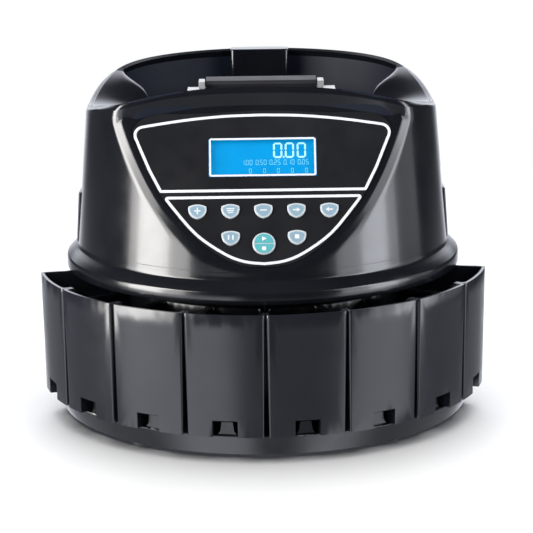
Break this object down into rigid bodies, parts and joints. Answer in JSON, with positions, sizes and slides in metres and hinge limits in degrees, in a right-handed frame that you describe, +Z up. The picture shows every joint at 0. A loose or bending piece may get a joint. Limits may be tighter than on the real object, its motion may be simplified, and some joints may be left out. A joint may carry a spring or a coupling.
{
  "type": "coin sorting machine",
  "caption": "Round tabletop coin sorter with an open hopper over a spinning disc, a tilted keypad panel with a display and a ring of pull-out coin bins",
  "frame": {"origin": "middle of the footprint, on the plane the feet stand on", "axes": "+Z up, front with the keypad towards -Y, +X to the right when facing the front"},
  "size_m": [0.3486, 0.333, 0.2665],
  "materials": {
    "housing_plastic": "satin",
    "base_plastic": "satin",
    "bin_plastic": "satin",
    "sheet_steel": "matte",
    "foot_rubber": "matte",
    "screw_steel": "satin",
    "deck_aluminium": "satin",
    "rail_steel": "polished",
    "sensor_plastic": "matte",
    "bright_steel": "polished",
    "rotor_plastic": "satin",
    "pulley_plastic": "matte",
    "motor_steel": "satin",
    "belt_rubber": "matte",
    "board_green": "satin",
    "transformer_steel": "satin",
    "connector_plastic": "matte",
    "rocker_plastic": "gloss",
    "hinge_steel": "satin",
    "panel_film": "satin",
    "display_lens": "gloss",
    "display_glow": "emissive",
    "gate_plastic": "satin",
    "gate_arm_plastic": "satin",
    "latch_plastic": "satin",
    "key_plastic": "satin",
    "start_plastic": "satin"
  },
  "bodies": {
    "base": {"base_plate": "base_plastic", "bottom_cover": "sheet_steel", "rubber_feet": "foot_rubber", "base_screws": "screw_steel", "lower_casing": "base_plastic", "sorting_deck": "deck_aluminium", "coin_rail": "rail_steel", "coin_sensors": "sensor_plastic", "bearing_post": "sensor_plastic", "shaft_bearings": "bright_steel", "drive_motor": "motor_steel", "motor_bracket": "sheet_steel", "drive_belt": "belt_rubber", "main_board": "board_green", "power_transformer": "transformer_steel", "power_inlet": "connector_plastic", "switch_body": "connector_plastic", "printer_port": "connector_plastic", "hinge_leaf": "hinge_steel", "hinge_pin": "bright_steel"},
    "rotor": {"rotor_shaft": "bright_steel", "rotor_pulley": "pulley_plastic", "coin_rotor": "rotor_plastic", "rotor_cap": "rotor_plastic"},
    "motor_spindle": {"motor_pulley": "pulley_plastic"},
    "rocker": {"power_rocker": "rocker_plastic"},
    "upper_body": {"upper_housing": "housing_plastic", "panel_overlay": "panel_film", "display_window": "display_lens", "lcd_module": "display_glow", "display_board": "board_green", "board_screws": "screw_steel", "key_switches": "connector_plastic", "hopper_bowl": "housing_plastic", "rear_pillar": "housing_plastic", "gate_bearings": "gate_arm_plastic", "gate_pin": "bright_steel", "latch_pins": "bright_steel"},
    "gate": {"feed_gate": "gate_plastic"},
    "latch_left": {"side_latch_left": "latch_plastic"},
    "latch_right": {"side_latch_right": "latch_plastic"},
    "key_1_cap": {"key_1": "key_plastic"},
    "key_2_cap": {"key_2": "key_plastic"},
    "key_3_cap": {"key_3": "key_plastic"},
    "key_4_cap": {"key_4": "key_plastic"},
    "key_5_cap": {"key_5": "key_plastic"},
    "key_6_cap": {"key_6": "key_plastic"},
    "key_7_cap": {"key_7": "key_plastic"},
    "start_cap": {"key_start": "start_plastic"},
    "bin_1_body": {"bin_1": "bin_plastic"},
    "bin_2_body": {"bin_2": "bin_plastic"},
    "bin_3_body": {"bin_3": "bin_plastic"},
    "bin_4_body": {"bin_4": "bin_plastic"},
    "bin_5_body": {"bin_5": "bin_plastic"},
    "bin_6_body": {"bin_6": "bin_plastic"},
    "bin_7_body": {"bin_7": "bin_plastic"},
    "bin_8_body": {"bin_8": "bin_plastic"}
  },
  "joints": [
    {"name": "housing_hinge", "type": "hinge", "parent": "base", "child": "upper_body", "pos_m": [0, 0.16294, 0.119], "axis": [-1, 0, 0], "range_deg": [0, 62]},
    {"name": "rotor_spin", "type": "hinge", "parent": "base", "child": "rotor", "pos_m": [0, 0.01094, 0.12], "axis": [0, 0, 1], "continuous": true},
    {"name": "motor_spin", "type": "hinge", "parent": "base", "child": "motor_spindle", "pos_m": [0, 0.08294, 0.06], "axis": [0, 0, 1], "continuous": true},
    {"name": "rocker_switch", "type": "hinge", "parent": "base", "child": "rocker", "pos_m": [0.004, 0.14544, 0.054], "axis": [0, 0, 1], "range_deg": [-17, 0]},
    {"name": "gate_hinge", "type": "hinge", "parent": "upper_body", "child": "gate", "pos_m": [0, -0.03706, 0.259], "axis": [1, 0, 0], "range_deg": [0, 35]},
    {"name": "latch_left_press", "type": "hinge", "parent": "upper_body", "child": "latch_left", "pos_m": [-0.1385, 0.01094, 0.15], "axis": [0, 1, 0], "range_deg": [0, 3], "stiffness_Nm_per_rad": 2, "springref_deg": -1.72},
    {"name": "latch_right_press", "type": "hinge", "parent": "upper_body", "child": "latch_right", "pos_m": [0.1385, 0.01094, 0.15], "axis": [0, -1, 0], "range_deg": [0, 3], "stiffness_Nm_per_rad": 2, "springref_deg": -1.72},
    {"name": "key_1_press", "type": "slide", "parent": "upper_body", "child": "key_1_cap", "axis": [0, 0.848, -0.5299], "range_m": [0, 0.001], "stiffness_N_per_m": 400, "springref_m": -0.0005},
    {"name": "key_2_press", "type": "slide", "parent": "upper_body", "child": "key_2_cap", "axis": [0, 0.848, -0.5299], "range_m": [0, 0.001], "stiffness_N_per_m": 400, "springref_m": -0.0005},
    {"name": "key_3_press", "type": "slide", "parent": "upper_body", "child": "key_3_cap", "axis": [0, 0.848, -0.5299], "range_m": [0, 0.001], "stiffness_N_per_m": 400, "springref_m": -0.0005},
    {"name": "key_4_press", "type": "slide", "parent": "upper_body", "child": "key_4_cap", "axis": [0, 0.848, -0.5299], "range_m": [0, 0.001], "stiffness_N_per_m": 400, "springref_m": -0.0005},
    {"name": "key_5_press", "type": "slide", "parent": "upper_body", "child": "key_5_cap", "axis": [0, 0.848, -0.5299], "range_m": [0, 0.001], "stiffness_N_per_m": 400, "springref_m": -0.0005},
    {"name": "key_6_press", "type": "slide", "parent": "upper_body", "child": "key_6_cap", "axis": [0, 0.848, -0.5299], "range_m": [0, 0.001], "stiffness_N_per_m": 400, "springref_m": -0.0005},
    {"name": "key_7_press", "type": "slide", "parent": "upper_body", "child": "key_7_cap", "axis": [0, 0.848, -0.5299], "range_m": [0, 0.001], "stiffness_N_per_m": 400, "springref_m": -0.0005},
    {"name": "key_start_press", "type": "slide", "parent": "upper_body", "child": "start_cap", "axis": [0, 0.848, -0.5299], "range_m": [0, 0.001], "stiffness_N_per_m": 400, "springref_m": -0.0005},
    {"name": "bin_1_slide", "type": "slide", "parent": "base", "child": "bin_1_body", "axis": [-0.9397, -0.342, 0], "range_m": [0, 0.07]},
    {"name": "bin_2_slide", "type": "slide", "parent": "base", "child": "bin_2_body", "axis": [-0.766, -0.6428, 0], "range_m": [0, 0.07]},
    {"name": "bin_3_slide", "type": "slide", "parent": "base", "child": "bin_3_body", "axis": [-0.5, -0.866, 0], "range_m": [0, 0.07]},
    {"name": "bin_4_slide", "type": "slide", "parent": "base", "child": "bin_4_body", "axis": [-0.1736, -0.9848, 0], "range_m": [0, 0.07]},
    {"name": "bin_5_slide", "type": "slide", "parent": "base", "child": "bin_5_body", "axis": [0.1736, -0.9848, 0], "range_m": [0, 0.07]},
    {"name": "bin_6_slide", "type": "slide", "parent": "base", "child": "bin_6_body", "axis": [0.5, -0.866, 0], "range_m": [0, 0.07]},
    {"name": "bin_7_slide", "type": "slide", "parent": "base", "child": "bin_7_body", "axis": [0.766, -0.6428, 0], "range_m": [0, 0.07]},
    {"name": "bin_8_slide", "type": "slide", "parent": "base", "child": "bin_8_body", "axis": [0.9397, -0.342, 0], "range_m": [0, 0.07]}
  ],
  "couplings": [
    {"joint": "motor_spin", "follows": "rotor_spin", "ratio": 2.5}
  ]
}
